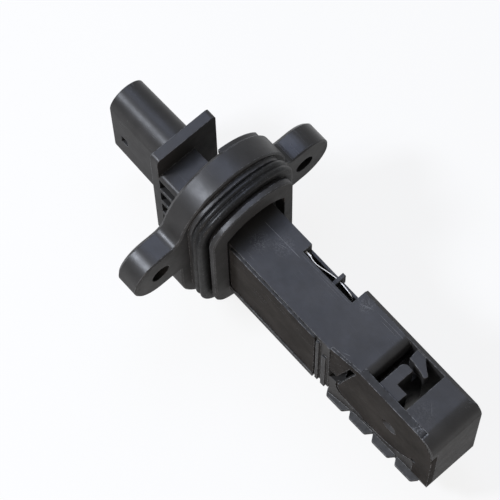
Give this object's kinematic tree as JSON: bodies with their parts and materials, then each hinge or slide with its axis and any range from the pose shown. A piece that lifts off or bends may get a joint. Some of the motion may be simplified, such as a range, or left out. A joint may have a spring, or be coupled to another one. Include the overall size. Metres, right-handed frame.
{
  "type": "mass airflow sensor",
  "caption": "Plug-in mass airflow sensor: a slim probe with an air bypass at its tip, an eared flange, a rubber seal and a plug socket.",
  "frame": {"origin": "centre of the collar on the flange's sealing face", "axes": "+X along the probe to its tip, Y along the ears, +Z against the air flow, towards the inlet window"},
  "size_m": [0.1151, 0.0614, 0.058],
  "materials": {
    "housing": "moulded black glass-filled plastic",
    "cover": "moulded black plastic, slightly smoother",
    "seal": "smooth black rubber",
    "sealant": "cured sealant",
    "terminal": "tinned brass",
    "plate_metal": "rolled sheet",
    "board": "fired ceramic",
    "chip": "moulded package",
    "capacitor": "fired ceramic",
    "resistor": "glazed thick film",
    "wire": "drawn wire",
    "tongue": "moulded plastic",
    "silicon": "polished silicon",
    "lead_metal": "tinned wire",
    "bead_glass": "glass bead"
  },
  "bodies": {
    "root": {"housing": "housing", "electronics_cover": "cover", "bypass_cover": "cover", "seal_ring": "seal", "tray_bead": "sealant", "terminal_1": "terminal", "terminal_2": "terminal", "terminal_3": "terminal", "terminal_4": "terminal", "carrier_plate": "plate_metal", "circuit_board": "board", "signal_chip": "chip", "capacitor_1": "capacitor", "capacitor_2": "capacitor", "capacitor_3": "capacitor", "resistor_1": "resistor", "resistor_2": "resistor", "terminal_wires": "wire", "sensor_tongue": "tongue", "sensing_chip": "silicon", "sensing_wires": "wire", "temperature_pin_1": "lead_metal", "temperature_pin_2": "lead_metal", "temperature_lead_1": "lead_metal", "temperature_lead_2": "lead_metal", "temperature_bead": "bead_glass"}
  },
  "joints": []
}
